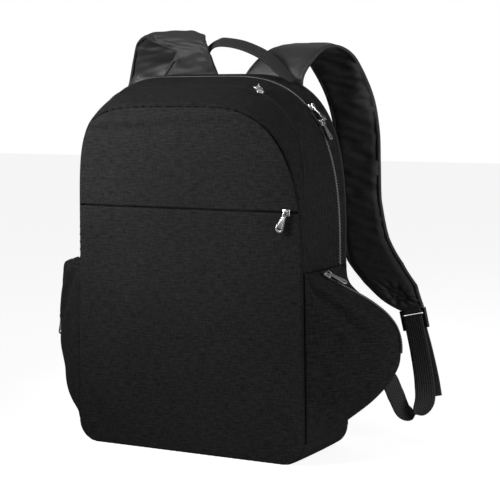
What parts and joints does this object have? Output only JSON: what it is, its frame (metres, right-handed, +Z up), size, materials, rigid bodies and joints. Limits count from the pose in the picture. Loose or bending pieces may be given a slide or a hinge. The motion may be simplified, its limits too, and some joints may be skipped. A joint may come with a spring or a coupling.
{
  "type": "laptop backpack",
  "caption": "Slim standing laptop backpack with arched main zip, front pocket, bulging side pockets, padded back, grab handle, shoulder straps and adjusting webbing.",
  "frame": {"origin": "middle of the flat base, on the surface that the bag stands on", "axes": "+Z up, the front panel faces -Y, the back panel and straps lie towards +Y, +X is the viewer's right"},
  "size_m": [0.4881, 0.2181, 0.504],
  "materials": {
    "body_cloth": "matt black woven polyester",
    "padded_cloth": "smooth dark grey nylon over foam",
    "webbing": "ribbed black webbing",
    "zip_tape": "dark zip tape with a grey nylon coil",
    "black_plastic": "moulded black plastic",
    "bright_metal": "satin silver plated zinc"
  },
  "bodies": {
    "bag": {"front_panel": "body_cloth", "front_pocket_panel": "body_cloth", "front_gusset": "body_cloth", "rear_gusset": "body_cloth", "base_panel": "body_cloth", "back_piping": "body_cloth", "side_pocket_right": "body_cloth", "side_pocket_left": "body_cloth", "back_panel": "padded_cloth", "shoulder_strap_right": "padded_cloth", "shoulder_strap_left": "padded_cloth", "grab_handle": "webbing", "lower_webbing_right": "webbing", "lower_webbing_left": "webbing", "main_zip": "zip_tape", "front_compartment_zip": "zip_tape", "front_pocket_zip": "zip_tape", "side_pocket_zip_right": "zip_tape", "side_pocket_zip_left": "zip_tape", "strap_buckle_right": "black_plastic", "strap_buckle_left": "black_plastic", "main_zip_1_slider": "bright_metal", "main_zip_2_slider": "bright_metal", "compartment_zip_slider": "bright_metal", "front_pocket_zip_slider": "bright_metal", "side_pocket_right_slider": "bright_metal", "side_pocket_left_slider": "bright_metal"},
    "main_zip_1_pull_body": {"main_zip_1_pull": "bright_metal"},
    "main_zip_2_pull_body": {"main_zip_2_pull": "bright_metal"},
    "compartment_zip_pull_body": {"compartment_zip_pull": "bright_metal"},
    "front_pocket_zip_pull_body": {"front_pocket_zip_pull": "bright_metal"},
    "side_pocket_right_pull_body": {"side_pocket_right_pull": "bright_metal"},
    "side_pocket_left_pull_body": {"side_pocket_left_pull": "bright_metal"}
  },
  "joints": [
    {"name": "main_zip_1_pull_swing", "type": "hinge", "parent": "bag", "child": "main_zip_1_pull_body", "pos_m": [0.1148, 0.0405, 0.41022], "axis": [0, -1, 0], "range_deg": [0, 120]},
    {"name": "main_zip_2_pull_swing", "type": "hinge", "parent": "bag", "child": "main_zip_2_pull_body", "pos_m": [0.12805, 0.0405, 0.39146], "axis": [0, -1, 0], "range_deg": [0, 25]},
    {"name": "compartment_zip_pull_swing", "type": "hinge", "parent": "bag", "child": "compartment_zip_pull_body", "pos_m": [0.06638, -0.00607, 0.43334], "axis": [-0.8049, -0.5824, 0.1138], "range_deg": [0, 120]},
    {"name": "front_pocket_zip_pull_swing", "type": "hinge", "parent": "bag", "child": "front_pocket_zip_pull_body", "pos_m": [0.134, -0.06985, 0.291], "axis": [-0.9397, 0, 0.342], "range_deg": [0, 120]},
    {"name": "side_pocket_right_pull_swing", "type": "hinge", "parent": "bag", "child": "side_pocket_right_pull_body", "pos_m": [0.17159, -0.03387, 0.22154], "axis": [0.2115, -0.9487, -0.235], "range_deg": [0, 120]},
    {"name": "side_pocket_left_pull_swing", "type": "hinge", "parent": "bag", "child": "side_pocket_left_pull_body", "pos_m": [-0.24231, 0.02808, 0.13631], "axis": [0, 1, 0], "range_deg": [0, 120]}
  ]
}
